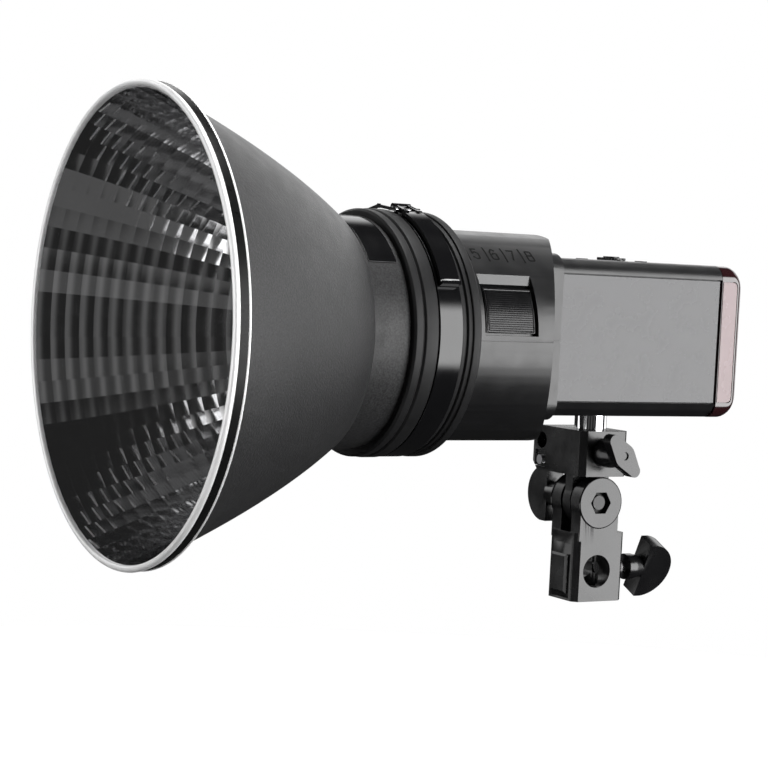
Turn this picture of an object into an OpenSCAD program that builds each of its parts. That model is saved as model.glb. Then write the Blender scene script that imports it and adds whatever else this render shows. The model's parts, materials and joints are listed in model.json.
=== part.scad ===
// Studio flash head with a zoom reflector, on a tilting stand bracket.
// Origin: centre of the stand socket's mouth. +Z up, light shines towards -Y.

/* [Reflector] */
// Outer radius of the reflector's mouth
mouth_r = 107.5; // [95:0.5:120]
// Depth of the bowl from its mouth to its neck
bowl_depth = 95; // [85:1:110]
// Outer radius of the bowl's neck
neck_r = 54; // [53.5:0.1:55]
// Wall of the spun bowl
bowl_wall = 1.5; // [1.2:0.1:2]
// Outer radius of the rubber collar
collar_r = 57.5; // [57:0.1:59]

/* [Adapter] */
// Outer radius of the tube that the reflector slides on
tube_r = 50; // [49.8:0.1:50.2]
// Wall of the two adapter shells
shell_wall = 3; // [2.5:0.1:3.5]
// How far a release button goes in
release_travel = 2.5; // [2:0.1:3]

/* [Flash unit] */
// Width of the flash unit
flash_w = 50; // [49:0.5:50.5]
// Height of the flash unit
flash_h = 76; // [75:0.5:76.5]
// Travel of a push button
button_travel = 0.8; // [0.5:0.1:1]

/* [Bracket] */
// Height of the optical axis above the socket's mouth
axis_z = 129; // [128.5:0.5:131]
// Height of the tilt pivot above the socket's mouth
pivot_z = 49; // [48.5:0.5:49.5]
// Radius of the stand socket
socket_r = 8.1; // [8:0.05:8.3]
// Radius of the spigot
spigot_r = 7.95; // [7.9:0.05:8]

/* [Hidden] */
$fn = 96;
gap = 0.3;          // clearance between parts that move apart
run = 0.06;         // running clearance of a shaft
cut = 1;            // overshoot of a cutting shape

// Reflector stations along Y
neck_y = -160;
mouth_y = neck_y - bowl_depth;
neck_end_y = -128;
collar_y0 = -140.4;
collar_y1 = -104.8;
bowl_start_r = 56.4;
bowl_end_r = mouth_r - 4;
band_l = 6;
lip_r = 1.6;
bore_r = tube_r + gap;

// Adapter stations
tube_front_y = -150;
ring_l = 6;
shell_y0 = tube_front_y + ring_l;
tube_rear_y = -38;
side_rear_y = -60.4;    // where the tube ends at its sides, cut to a wedge
wedge_slope = 0.531;
rear_wall = 3.5;
sleeve_y0 = -92;
sleeve_y1 = -40.2;
sleeve_wall = 2;
rear_chamfer = 3;

// Release buttons, as seen on the +X side
rel_y0 = -97;
rel_y1 = -70.5;
rel_z0 = axis_z + 4;
rel_z1 = axis_z + 24;
rel_r = tube_r - 1;
rel_in_r = 43.5;
rel_flange_r = 46.6;
rib_count = 22;

// Flash unit stations
head_y0 = -96.5;
body_y0 = -58;
body_y1 = 58;
cap_y1 = 71.5;
flash_mid_z = axis_z + 1.5;
flash_top = flash_mid_z + flash_h/2;
flash_bottom = flash_mid_z - flash_h/2;
flash_corner = 7.4;
panel_half_h = 30.5;
panel_t = 2;
cover_t = 2;

// Bracket
yoke_w = 24;
yoke_front = -13;
yoke_rear = 17;
yoke_h = 34;
yoke_chamfer = 2.7;
socket_depth = 30;
drum_r = 12.5;
ear_in = 4.3;
ear_out = 12.5;
tongue_half = 3;
bolt_r = 3.5;
nut_r = 5.9;
block_z0 = 62;
block_z1 = 84.5;
block_front = -13;
block_rear = 15.5;
block_x = 12.5;
block_left = -17;
spigot_screw_z = axis_z - 55;
stand_screw_z = 15;
stand_knob_y = 25.5;
umbrella_x = -22.4;
umbrella_z = 77;
umbrella_r = 4.1;
plate_x0 = -27.4;
plate_x1 = -18.8;
plate_screw_x = -23.4;

// ---- helpers ----

// A body of revolution about the optical axis; points are [radius, y]
module about_axis(points)
    translate([0, 0, axis_z]) rotate([90, 0, 0]) rotate_extrude()
        polygon([for (p = points) [p[0], -p[1]]]);

// A stretch of such a body between two angles, counted from +X towards +Z
module arc_about_axis(a0, a1, points)
    translate([0, 0, axis_z]) rotate([90, 0, 0]) rotate([0, 0, a0])
        rotate_extrude(angle = a1 - a0) polygon([for (p = points) [p[0], -p[1]]]);

// An XZ outline drawn out along Y
module along_y(y0, y1)
    translate([0, y1, 0]) rotate([90, 0, 0]) linear_extrude(y1 - y0) children();

// A YZ outline drawn out along X
module along_x(x0, x1)
    translate([x0, 0, 0]) rotate([90, 0, 90]) linear_extrude(x1 - x0) children();

module cyl_x(x0, x1, y, z, r) translate([x0, y, z]) rotate([0, 90, 0]) cylinder(h = x1 - x0, r = r);
module cyl_y(y0, y1, x, z, r) translate([x, y1, z]) rotate([90, 0, 0]) cylinder(h = y1 - y0, r = r);
module box(lo, hi) translate(lo) cube(hi - lo);

// A rectangle with round corners, as exact arcs
module round_rect(w, h, r) {
    square([w - 2*r, h], center = true);
    square([w, h - 2*r], center = true);
    for (x = [-1, 1], y = [-1, 1]) translate([x*(w/2 - r), y*(h/2 - r)]) circle(r);
}

// A straight bar of a given width between two points
module strip(p, q, width) {
    d = q - p;
    translate(p) rotate(atan2(d[1], d[0])) translate([0, -width/2]) square([norm(d), width]);
}

// The flash unit's cross-section, drawn in by an inset
module flash_section(inset)
    translate([0, flash_mid_z])
        round_rect(flash_w - 2*inset, flash_h - 2*inset, max(flash_corner - inset, 0.8));

// A rectangle with cut corners
module chamfer_rect(w, d, c)
    polygon([[-w/2 + c, -d/2], [w/2 - c, -d/2], [w/2, -d/2 + c], [w/2, d/2 - c],
             [w/2 - c, d/2], [-w/2 + c, d/2], [-w/2, d/2 - c], [-w/2, -d/2 + c]]);

// ---- stand bracket, lower half ----

module yoke_ear(side)
    intersection() {
        union() {
            cyl_x(side > 0 ? ear_in : -ear_out, side > 0 ? ear_out : -ear_in, 0, pivot_z, drum_r);
            box([side > 0 ? ear_in : -yoke_w/2, -drum_r + 1, yoke_h - 4],
                [side > 0 ? yoke_w/2 : -ear_in, drum_r - 1, pivot_z]);
        }
        box([-20, -20, 0], [20, 20, 80]);
    }

module lower_yoke() color([0.2, 0.2, 0.21]) difference() {
    union() {
        translate([0, (yoke_front + yoke_rear)/2, 0]) linear_extrude(yoke_h)
            chamfer_rect(yoke_w, yoke_rear - yoke_front, yoke_chamfer);
        translate([0, 0, 1.5]) linear_extrude(27)
            polygon([[-8.5, -12.5], [-4.3, -14], [4.3, -14], [8.5, -12.5]]);
        for (side = [-1, 1]) yoke_ear(side);
        cyl_y(yoke_rear - cut, 20, 0, stand_screw_z, 7);
    }
    translate([0, 0, -cut]) cylinder(h = socket_depth + cut, r = socket_r);
    cyl_x(-20, 20, 0, stand_screw_z, socket_r);
    cyl_x(-20, 20, 0, pivot_z, bolt_r + 0.05);
    cyl_y(0, 30, 0, stand_screw_z, 3 + run);
    along_x(ear_out - 7.2, ear_out + cut) translate([0, pivot_z]) circle(nut_r + 0.1, $fn = 6);
}

module tilt_bolt() color([0.8, 0.8, 0.8]) {
    cyl_x(-27, ear_out - 1.6, 0, pivot_z, bolt_r);
}

module tilt_nut() color([0.7, 0.7, 0.7]) difference() {
    along_x(ear_out - 7.1, ear_out - 3.2) translate([0, pivot_z]) circle(nut_r, $fn = 6);
    cyl_x(0, 20, 0, pivot_z, bolt_r + 0.05);
}

module friction_washers() color([0.75, 0.72, 0.6])
    for (side = [-1, 1]) difference() {
        cyl_x(side > 0 ? tongue_half + gap : -ear_in, side > 0 ? ear_in : -tongue_half - gap,
              0, pivot_z, 11);
        cyl_x(-20, 20, 0, pivot_z, bolt_r + 0.05);
    }

// A wing plate: straight towards the hub, round at the back. Drawn in (u, v),
// with the hub's axis along u and the plate's length along v.
module wing_outline(length, depth) {
    half = length/2;
    arc_r = (half*half + depth*depth)/(2*depth);
    intersection() {
        translate([depth - arc_r, 0]) circle(arc_r);
        translate([0, -half]) square([depth + cut, length]);
    }
}

module stand_screw() color([0.85, 0.85, 0.85]) cyl_y(8.6, stand_knob_y + 6, 0, stand_screw_z, 3);

module stand_knob() color([0.12, 0.12, 0.13]) translate([0, stand_knob_y, stand_screw_z]) difference() {
    union() {
        rotate([-90, 0, 0]) cylinder(h = 4, r = 6.5);
        translate([0, 4, 0]) rotate([-90, 0, 0]) cylinder(h = 6.5, r1 = 6.5, r2 = 5);
        rotate([0, -65, 0]) translate([0, 9, -5]) linear_extrude(10)
            rotate([0, 0, 90]) wing_outline(30, 17);
    }
    rotate([-90, 0, 0]) translate([0, 0, -cut]) cylinder(h = 7 + cut, r = 3);
}

module tilt_knob() color([0.12, 0.12, 0.13]) translate([-ear_out - gap, 0, pivot_z]) difference() {
    union() {
        rotate([0, -90, 0]) cylinder(h = 5, r = 8);
        rotate([0, -90, 0]) translate([0, 0, 5]) cylinder(h = 11, r1 = 8, r2 = 6);
        rotate([0, 0, 180]) translate([14.5, 5, 0]) rotate([90, 0, 0]) linear_extrude(10)
            wing_outline(28, 16.5);
    }
    rotate([0, -90, 0]) translate([0, 0, -cut]) cylinder(h = 15.2 + cut, r = bolt_r + run);
}

// ---- tilting spigot block ----

module umbrella_side()
    along_y(block_front, block_rear)
        polygon([[-14, block_z0], [-25.8, block_z0], [-29.3, block_z0 + 4], [-29.3, block_z0 + 14],
                 [-24, block_z1], [-14, block_z1]]);

module spigot_block() color([0.25, 0.25, 0.26]) difference() {
    union() {
        translate([(block_left + block_x)/2, (block_front + block_rear)/2, block_z0])
            linear_extrude(block_z1 - block_z0)
                chamfer_rect(block_x - block_left, block_rear - block_front, 2.9);
        umbrella_side();
        along_x(-tongue_half, tongue_half) {
            translate([0, pivot_z]) circle(drum_r - gap);
            translate([-11, pivot_z]) square([22, block_z0 - pivot_z + cut]);
        }
    }
    translate([0, 0, 66]) cylinder(h = 30, r = spigot_r + 0.05);
    cyl_x(0, 20, 0, spigot_screw_z, 3 + run);
    cyl_y(-20, 20, umbrella_x, umbrella_z, umbrella_r);
    cyl_x(-10, 10, 0, pivot_z, bolt_r + run);
    box([plate_x0 - 0.1, block_front - cut, 63.8], [plate_x1 + 0.1, block_front + 3, 72]);
}

module umbrella_plate() color([0.85, 0.85, 0.85]) difference() {
    box([plate_x0, block_front + 0.9, 63.9], [plate_x1, block_front + 3, 71.9]);
    cyl_y(-20, 0, plate_screw_x, 67, 1.55);
}

module umbrella_plate_screw() color([0.7, 0.7, 0.7]) {
    cyl_y(block_front - 0.2, block_front + 0.9, plate_screw_x, 67, 2.4);
    cyl_y(block_front + 0.9, block_front + 3, plate_screw_x, 67, 1.5);
}

module spigot_screw() color([0.85, 0.85, 0.85]) cyl_x(8.7, 22, 0, spigot_screw_z, 3);

module spigot_knob() color([0.14, 0.14, 0.15])
    translate([0, 0, spigot_screw_z]) difference() {
        union() {
            translate([14, 0, 0]) rotate([0, 90, 0]) cylinder(h = 4, r = 7);
            translate([18, 0, 0]) rotate([0, 90, 0]) cylinder(h = 7, r1 = 7, r2 = 6);
            rotate([41, 0, 0]) along_x(24, 30) {
                circle(5.8);
                for (end = [-1, 1]) translate([0, end*9.6]) circle(3.2);
                polygon([[-5.5, -2], [-3.2, -9.6], [3.2, -9.6], [5.5, -2],
                         [5.5, 2], [3.2, 9.6], [-3.2, 9.6], [-5.5, 2]]);
            }
        }
        cyl_x(10, 22, 0, 0, 3);
        cyl_x(29.2, 31, 0, 0, 2);
    }

// ---- flash unit ----

module spigot() color([0.85, 0.85, 0.85]) difference() {
    union() {
        translate([0, 0, 66.4]) cylinder(h = 1, r1 = spigot_r - 1, r2 = spigot_r);
        translate([0, 0, 67.4]) cylinder(h = flash_bottom - 67.4, r = spigot_r);
        translate([0, 0, flash_bottom]) cylinder(h = 8, r = 3.15);
    }
    translate([0, 0, 71.5]) rotate_extrude()
        polygon([[6.6, 0], [9, 0], [9, 5], [6.6, 5]]);
}

module tripod_bush() color([0.75, 0.65, 0.35]) difference() {
    translate([0, 0, flash_bottom]) cylinder(h = 9, r = 5);
    translate([0, 0, flash_bottom - cut]) cylinder(h = 9, r = 3.15);
}

module cover_ring(y0, y1) along_y(y0, y1) difference() {
    flash_section(0);
    flash_section(cover_t);
}

top_controls = [["mode", -15, 0], ["group", -15, 14], ["light", 15, 0], ["power", 15, 14]];
dial_y = 7;
dial_r = 7;
set_button_r = 4;
button_r = 3;

module top_cover() color([0.1, 0.1, 0.11]) difference() {
    intersection() {
        cover_ring(body_y0, body_y1);
        box([-30, -100, flash_mid_z + panel_half_h], [30, 100, 200]);
    }
    for (c = top_controls)
        translate([c[1], c[2], flash_top - 5]) cylinder(h = 10, r = button_r + gap);
    translate([0, dial_y, flash_top - 5]) cylinder(h = 10, r = dial_r + gap);
    box([-15, -36, flash_top - 1.2], [15, -8, flash_top + 1]);
}

module bottom_cover() color([0.1, 0.1, 0.11]) difference() {
    intersection() {
        cover_ring(body_y0, body_y1);
        box([-30, -100, 50], [30, 100, flash_mid_z - panel_half_h]);
    }
    translate([0, 0, flash_bottom - cut]) cylinder(h = 12, r = 5);
}

module side_panel(side) {
    outer = side*flash_w/2;
    inner = side*(flash_w/2 - panel_t);
    box([min(outer, inner), body_y0, flash_mid_z - panel_half_h],
        [max(outer, inner), body_y1, flash_mid_z + panel_half_h]);
}

port_y0 = -28;
port_y1 = -8;
port_z0 = 104;
port_z1 = 116;

module side_panel_right() color([0.55, 0.54, 0.57]) side_panel(1);

module side_panel_left() color([0.55, 0.54, 0.57]) difference() {
    side_panel(-1);
    box([-30, port_y0, port_z0], [-20, port_y1, port_z1]);
}

// The flap turns on a barrel along its lower edge
flap_barrel_r = 0.9;
flap_pivot = [-flash_w/2 + flap_barrel_r, port_z0 + 1.4];

module port_flap() color([0.08, 0.08, 0.08]) {
    box([-flash_w/2 - 0.2, port_y0 + gap, flap_pivot[1]], [-flash_w/2 + 1, port_y1 - gap, port_z1 - gap]);
    cyl_y(port_y0 + gap, port_y1 - gap, flap_pivot[0], flap_pivot[1], flap_barrel_r);
}

module sync_sockets() color([0.6, 0.6, 0.6]) difference() {
    union() {
        box([-21.5, port_y0 - 2, port_z0 - 2], [-20.2, port_y1 + 2, port_z1 + 2]);
        cyl_x(-23.6, -21.4, port_y0 + 5.5, 110, 3.2);
        box([-23.6, port_y1 - 11, 107.5], [-21.4, port_y1 - 2.5, 112.5]);
    }
    cyl_x(-24, -21, port_y0 + 5.5, 110, 1.8);
    box([-24, port_y1 - 10.2, 108.3], [-21, port_y1 - 3.3, 111.7]);
}

chassis_gap = 0.1;
chassis_t = 1.4;

module chassis() color([0.3, 0.3, 0.32]) difference() {
    along_y(body_y0, body_y1) difference() {
        flash_section(cover_t + chassis_gap);
        flash_section(cover_t + chassis_gap + chassis_t);
    }
    box([-20, -40, flash_top - 6], [20, 32, flash_top]);
    box([-30, port_y0 - 1, port_z0 - 1], [-18, port_y1 + 1, port_z1 + 1]);
    translate([0, 0, flash_bottom]) cylinder(h = 12, r = 5.1);
    box([-9, 56, flash_bottom], [9, 60, flash_bottom + 6]);
}

module capacitors() color([0.15, 0.2, 0.35])
    for (z = [flash_mid_z - 14, flash_mid_z + 15]) {
        cyl_y(-50, 4, 0, z, 13.5);
        cyl_y(-51.5, -50, 0, z, 12);
    }

module main_board() color([0.1, 0.4, 0.2]) {
    box([16, -54, 100], [17.6, 5, 160]);
    for (y = [-44, -24, -6]) box([17.6, y, 112], [20.5, y + 9, 124]);
}

module control_board() color([0.1, 0.4, 0.2])
    box([-19, -40, flash_top - 6.4], [19, 30, flash_top - 4.8]);

module display_window() color([0.05, 0.06, 0.07])
    box([-14.9, -35.9, flash_top - 1.2], [14.9, -8.1, flash_top]);

module control_dial() color([0.1, 0.1, 0.11]) translate([0, dial_y, flash_top]) difference() {
    union() {
        translate([0, 0, -4.4]) cylinder(h = 5.8, r = dial_r);
        for (i = [0:29]) rotate([0, 0, i*12]) translate([dial_r - 0.1, 0, 0.3]) cylinder(h = 0.9, r = 0.25);
    }
    translate([0, 0, -5]) cylinder(h = 10, r = set_button_r + 0.2);
}

module set_button() color([0.16, 0.16, 0.17])
    translate([0, dial_y, flash_top - 3.8]) cylinder(h = 5.8, r = set_button_r);

module push_button(i) color([0.16, 0.16, 0.17])
    translate([top_controls[i][1], top_controls[i][2], flash_top - 3 - button_travel])
        cylinder(h = 3.4 + button_travel, r = button_r);

module button_mode() push_button(0);
module button_group() push_button(1);
module button_light() push_button(2);
module button_power() push_button(3);

module head_housing() color([0.1, 0.1, 0.11]) difference() {
    along_y(head_y0, body_y0) flash_section(0.4);
    along_y(head_y0 + 3, body_y0 + cut) flash_section(2.6);
    cyl_y(head_y0 - cut, head_y0 + 5, 0, axis_z, 20);
}

module bulb_base() color([0.92, 0.9, 0.86]) {
    cyl_y(head_y0, head_y0 + 3, 0, axis_z, 20);
    cyl_y(head_y0 - 5, head_y0, 0, axis_z, 17);
}

tube_ring_y = -118;
tube_ring_r = 12;
tube_wire_r = 3;
tube_leg_r = 3.5;

module flash_tube() color([0.9, 0.92, 0.95, 0.6]) {
    translate([0, tube_ring_y, axis_z]) rotate([90, 0, 0]) rotate([0, 0, -60])
        rotate_extrude(angle = 300) translate([tube_ring_r, 0]) circle(tube_wire_r, $fn = 32);
    for (a = [-60, 240])
        cyl_y(tube_ring_y - tube_leg_r, head_y0 - 5, tube_ring_r*cos(a), axis_z + tube_ring_r*sin(a),
              tube_leg_r);
}

module modelling_led() color([0.95, 0.85, 0.4]) {
    cyl_y(head_y0 - 7, head_y0 - 5, 0, axis_z, 5);
    cyl_y(head_y0 - 8.2, head_y0 - 7, 0, axis_z, 3.4);
}

module protective_glass() color([0.85, 0.9, 0.92, 0.4])
    about_axis([[17.2, head_y0], [23.5, head_y0], [23.5, -132], [20, -138], [12, -141.6], [0, -142.8],
                [0, -141.2], [11.6, -140], [18.9, -136.8], [21.9, -131.6], [21.9, head_y0 - 1.5],
                [17.2, head_y0 - 1.5]]);

// ---- battery ----

cap_corner = 7.5;       // rounding of the end cap as seen from the side

module battery_pack() color([0.16, 0.16, 0.17])
    along_y(8, body_y1) translate([0, flash_mid_z - 2]) round_rect(42, 63, 2);

module battery_end_cap() color([0.13, 0.09, 0.09]) difference() {
    intersection() {
        along_y(body_y1 + gap, cap_y1) flash_section(0);
        translate([0, 0, flash_mid_z - 50]) linear_extrude(100) union() {
            translate([0, 30 + cap_y1/2]) round_rect(flash_w, cap_y1 - 60, 5);
            translate([-flash_w/2, 40]) square([flash_w, 25]);
        }
        along_x(-30, 30) translate([cap_y1 - flash_h/2, flash_mid_z])
            round_rect(flash_h, flash_h, cap_corner);
    }
    for (side = [-1, 1])
        box([side > 0 ? flash_w/2 - 1 : -flash_w/2 - 1, 59.4, flash_mid_z - panel_half_h + 1],
            [side > 0 ? flash_w/2 + 1 : -flash_w/2 + 1, 67.6, flash_mid_z + panel_half_h - 1]);
    box([-6 - gap, 60 - gap, flash_bottom - cut], [6 + gap, 67 + gap, flash_bottom + 4]);
}

module battery_side_plates() color([0.5, 0.4, 0.42])
    for (side = [-1, 1])
        box([side > 0 ? flash_w/2 - 1 : -flash_w/2 + 0.1, 59.4, flash_mid_z - panel_half_h + 1],
            [side > 0 ? flash_w/2 - 0.1 : -flash_w/2 + 1, 67.6, flash_mid_z + panel_half_h - 1]);

module battery_latch() color([0.3, 0.3, 0.3]) difference() {
    box([-6, 60, flash_bottom], [6, 67, flash_bottom + 2.4]);
    for (y = [61.2:1.4:66.4]) box([-5, y, flash_bottom - cut], [5, y + 0.7, flash_bottom + 0.4]);
}

// ---- adapter ----

module sleeve_section(inset) translate([0, flash_mid_z])
    round_rect(flash_w - 2*inset, flash_h - 2*inset, flash_corner - inset);

// The plan of the tube's rear: a shallow wedge that narrows to the flash unit
module wedge(inset) {
    y_side = side_rear_y - inset;
    y_mid = y_side + wedge_slope*tube_r;
    translate([0, 0, axis_z - 60]) linear_extrude(120)
        polygon([[-60, -200], [60, -200], [60, y_side - wedge_slope*(60 - tube_r)],
                 [0, y_mid], [-60, y_side - wedge_slope*(60 - tube_r)]]);
}

module adapter_body() difference() {
    union() {
        difference() {
            intersection() {
                about_axis([[0, shell_y0], [tube_r, shell_y0], [tube_r, tube_rear_y - rear_chamfer],
                            [tube_r - rear_chamfer, tube_rear_y], [0, tube_rear_y]]);
                wedge(0);
            }
            intersection() {
                cyl_y(shell_y0 - cut, tube_rear_y - rear_wall - 1, 0, axis_z, tube_r - shell_wall);
                wedge(rear_wall);
            }
        }
        intersection() {
            along_y(sleeve_y0, sleeve_y1) sleeve_section(-sleeve_wall);
            cyl_y(sleeve_y0 - cut, 0, 0, axis_z, tube_r - 1.2);
        }
    }
    along_y(sleeve_y0 - cut, tube_rear_y + cut) sleeve_section(-0.15);
}

// The button's window, with a sloping flat above it for the finger
window_y0 = rel_y0 - 1.5;
window_y1 = rel_y1 + 1.5;
window_z0 = rel_z0 - 1.4;
window_z1 = rel_z1 + 1.6;
window_x = rel_in_r - release_travel - 3;    // room behind the button's cap
bevel_x = tube_r - 9.4;
bevel_lean = 1.7;
bevel_h = 9;

module release_window(side) mirror([side > 0 ? 0 : 1, 0, 0])
    along_y(window_y0, window_y1)
        polygon([[window_x, window_z0], [tube_r + cut, window_z0], [tube_r + cut, window_z1 + bevel_h],
                 [bevel_x - bevel_lean, window_z1 + bevel_h], [bevel_x, window_z1], [window_x, window_z1]]);

// Four screws hold the halves together, two on each side of the axis
screw_x = 36;
screw_ys = [-134, -112];
boss_r = 3.6;
module at_screws() for (x = [-screw_x, screw_x], y = screw_ys) translate([x, y, axis_z]) children();

module half_space(z0, z1) box([-80, -200, axis_z + z0], [80, 0, axis_z + z1]);

module boss_envelope()
    about_axis([[0, shell_y0], [tube_r - 1, shell_y0], [tube_r - 1, -100], [0, -100]]);

module adapter_upper_shell() color([0.13, 0.13, 0.14]) difference() {
    union() {
        intersection() {
            adapter_body();
            half_space(0.05, 80);
        }
        intersection() {
            at_screws() translate([0, 0, 0.05]) cylinder(h = 34, r = boss_r);
            boss_envelope();
        }
    }
    for (side = [-1, 1]) release_window(side);
    at_screws() translate([0, 0, -cut]) cylinder(h = 10 + cut, r = 1.5);
}

module adapter_lower_shell() color([0.13, 0.13, 0.14]) difference() {
    union() {
        intersection() {
            adapter_body();
            half_space(-80, -0.05);
        }
        intersection() {
            at_screws() translate([0, 0, -34]) cylinder(h = 33.95, r = boss_r);
            boss_envelope();
        }
    }
    at_screws() {
        translate([0, 0, -60]) cylinder(h = 60 + cut, r = 1.6);
        translate([0, 0, -60]) cylinder(h = 36, r = 3);
    }
}

module adapter_screws() color([0.3, 0.3, 0.3]) at_screws() {
    translate([0, 0, -24]) cylinder(h = 33, r = 1.5);
    translate([0, 0, -26.4]) cylinder(h = 2.4, r = 2.8);
}

module adapter_front_ring() color([0.12, 0.12, 0.12]) {
    about_axis([[38, tube_front_y], [tube_r - 1, tube_front_y], [tube_r, tube_front_y + 1],
                [tube_r, shell_y0], [38, shell_y0]]);
    about_axis([[44.5, shell_y0], [tube_r - shell_wall, shell_y0],
                [tube_r - shell_wall, shell_y0 + 2.5], [44.5, shell_y0 + 2.5]]);
}

disc_y1 = rel_y0 - 3 - gap;     // just in front of the buttons' flanges

module adapter_reflector_disc() color([0.85, 0.85, 0.85])
    about_axis([[24, disc_y1], [tube_r - shell_wall - 0.1, disc_y1],
                [tube_r - shell_wall - 0.1, disc_y1 - 1.2], [24, disc_y1 - 1.2]]);

// The cap stands in the window; a flange behind the wall keeps it in
module release_button(side) mirror([side > 0 ? 0 : 1, 0, 0]) difference() {
    union() {
        intersection() {
            about_axis([[rel_in_r, rel_y0], [rel_r, rel_y0], [rel_r, rel_y1], [rel_in_r, rel_y1]]);
            box([30, rel_y0 - cut, rel_z0], [60, rel_y1 + cut, rel_z1]);
        }
        intersection() {
            about_axis([[rel_in_r, rel_y0 - 3], [rel_flange_r, rel_y0 - 3],
                        [rel_flange_r, rel_y1 + 3], [rel_in_r, rel_y1 + 3]]);
            box([30, rel_y0 - 4, rel_z0 - 3], [60, rel_y1 + 4, rel_z1 + 3.5]);
        }
    }
    for (i = [1:rib_count])
        translate([0, 0, axis_z]) rotate([0, -(4.6 + i*24.2/(rib_count + 1)), 0])
            box([rel_r - 0.5, rel_y0 + 1.4, -0.22], [rel_r + 2, rel_y1 - 1.4, 0.22]);
}

module release_button_right() color([0.2, 0.2, 0.21]) release_button(1);
module release_button_left() color([0.2, 0.2, 0.21]) release_button(-1);

// Compression spring behind each button, swept along a helix about X
spring_x0 = 27.8;
spring_x1 = 40.2;
spring_y = -84;
spring_z = axis_z + 14;
spring_r = 3.6;
wire_r = 0.45;
spring_turns = 5;
spring_steps = 12;
spring_sides = 8;
function on_helix(i) = let (a = 360*i/spring_steps)
    [spring_x0 + (spring_x1 - spring_x0)*i/(spring_turns*spring_steps), spring_r*cos(a), spring_r*sin(a)];
function wire_ring(i) = let (a = 360*i/spring_steps, c = on_helix(i))
    [for (k = [0:spring_sides - 1]) let (b = 360*k/spring_sides)
        [c[0] + wire_r*sin(b), c[1] + wire_r*cos(b)*cos(a), c[2] + wire_r*cos(b)*sin(a)]];

module button_spring(side) mirror([side > 0 ? 0 : 1, 0, 0]) translate([0, spring_y, spring_z]) {
    rings = spring_turns*spring_steps;
    n = spring_sides;
    polyhedron(
        points = [for (i = [0:rings], p = wire_ring(i)) p],
        faces = concat(
            [[for (k = [0:n - 1]) k]],
            [[for (k = [n - 1:-1:0]) rings*n + k]],
            [for (i = [0:rings - 1], k = [0:n - 1]) [i*n + k, (i + 1)*n + k, i*n + (k + 1)%n]],
            [for (i = [0:rings - 1], k = [0:n - 1])
                [i*n + (k + 1)%n, (i + 1)*n + k, (i + 1)*n + (k + 1)%n]]));
}

module button_spring_right() color([0.8, 0.8, 0.8]) button_spring(1);
module button_spring_left() color([0.8, 0.8, 0.8]) button_spring(-1);

// ---- reflector ----

// The bowl is a paraboloid: radius squared grows evenly from neck to band
bowl_steps = 18;
curve_y1 = mouth_y + band_l;
function bowl_r(y) = sqrt(pow(bowl_start_r, 2)
    + (pow(bowl_end_r, 2) - pow(bowl_start_r, 2))*(neck_y - y)/(neck_y - curve_y1));
bowl_curve = [for (i = [0:bowl_steps]) let (y = neck_y + (curve_y1 - neck_y)*i/bowl_steps) [bowl_r(y), y]];
bowl_inner = [for (i = [bowl_steps:-1:0]) [bowl_curve[i][0] - bowl_wall, bowl_curve[i][1]]];

module reflector_bowl() color([0.16, 0.16, 0.17]) {
    about_axis(concat(
        [[neck_r, neck_end_y], [neck_r, neck_y], [bowl_start_r, neck_y]],
        bowl_curve,
        [[mouth_r - 0.6, curve_y1], [mouth_r - 0.6, mouth_y + lip_r],
         [mouth_r - 0.6 - bowl_wall, mouth_y + lip_r], [mouth_r - 0.6 - bowl_wall, curve_y1 - bowl_wall]],
        bowl_inner,
        [[neck_r - bowl_wall, neck_y - 1], [neck_r - bowl_wall, neck_end_y]]));
    translate([0, mouth_y + lip_r, axis_z]) rotate([90, 0, 0]) rotate_extrude()
        translate([mouth_r - lip_r, 0]) circle(lip_r, $fn = 32);
}

module collar_rubber() color([0.2, 0.2, 0.2]) about_axis([
    [neck_r, collar_y0], [collar_r - 1, collar_y0], [collar_r, collar_y0 + 1],
    [collar_r, -136], [collar_r - 0.9, -135.2], [collar_r + 0.3, -134.4],
    [collar_r + 0.3, -128.4], [collar_r - 0.7, -127.5], [collar_r - 3, -127.5],
    [collar_r - 3, -115], [collar_r - 1, -115], [collar_r - 1, -113],
    [collar_r - 2.2, -112.6], [collar_r - 2.2, -111.8], [collar_r - 1, -111.4],
    [collar_r - 1, -109.3], [collar_r, -109.3], [collar_r, collar_y1 - 0.8],
    [collar_r - 0.8, collar_y1], [bore_r, collar_y1], [bore_r, neck_end_y], [neck_r, neck_end_y]]);

module collar_rivets() color([0.6, 0.6, 0.6])
    for (a = [20:60:359]) translate([0, 0, axis_z]) rotate([0, -a, 0])
        cyl_x(neck_r - bowl_wall - 0.7, neck_r - bowl_wall - 0.1, -134, 0, 3);

module label_plate() color([0.06, 0.06, 0.06])
    arc_about_axis(38, 78, [[neck_r, -157.5], [neck_r + 0.5, -157.5], [neck_r + 0.5, -143], [neck_r, -143]]);

strap_y0 = -127.2;
strap_y1 = -115.3;
strap_in_r = collar_r - 3;
strap_a0 = 106;         // strap end that the link hooks on
strap_a1 = 445;         // strap end that the lever turns on

// The over-centre latch, in X and in height above the axis
lever_pivot = [8, 59];
lever_root = [18.6, 56.4];
link_pivot = [13.68, 57.6];
link_bend = [-2, 59.3];
link_hook = [-21.3, 55];
pin_r = 0.8;
barrel_r = 1.7;
link_r = 0.7;
cheek_t = 2.2;
cheek_ys = [-125.9, -118.8];
link_ys = [-127.2, -115.3];

module inside_strap() about_axis([[0, -130], [strap_in_r + 0.1, -130], [strap_in_r + 0.1, -110], [0, -110]]);

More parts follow.
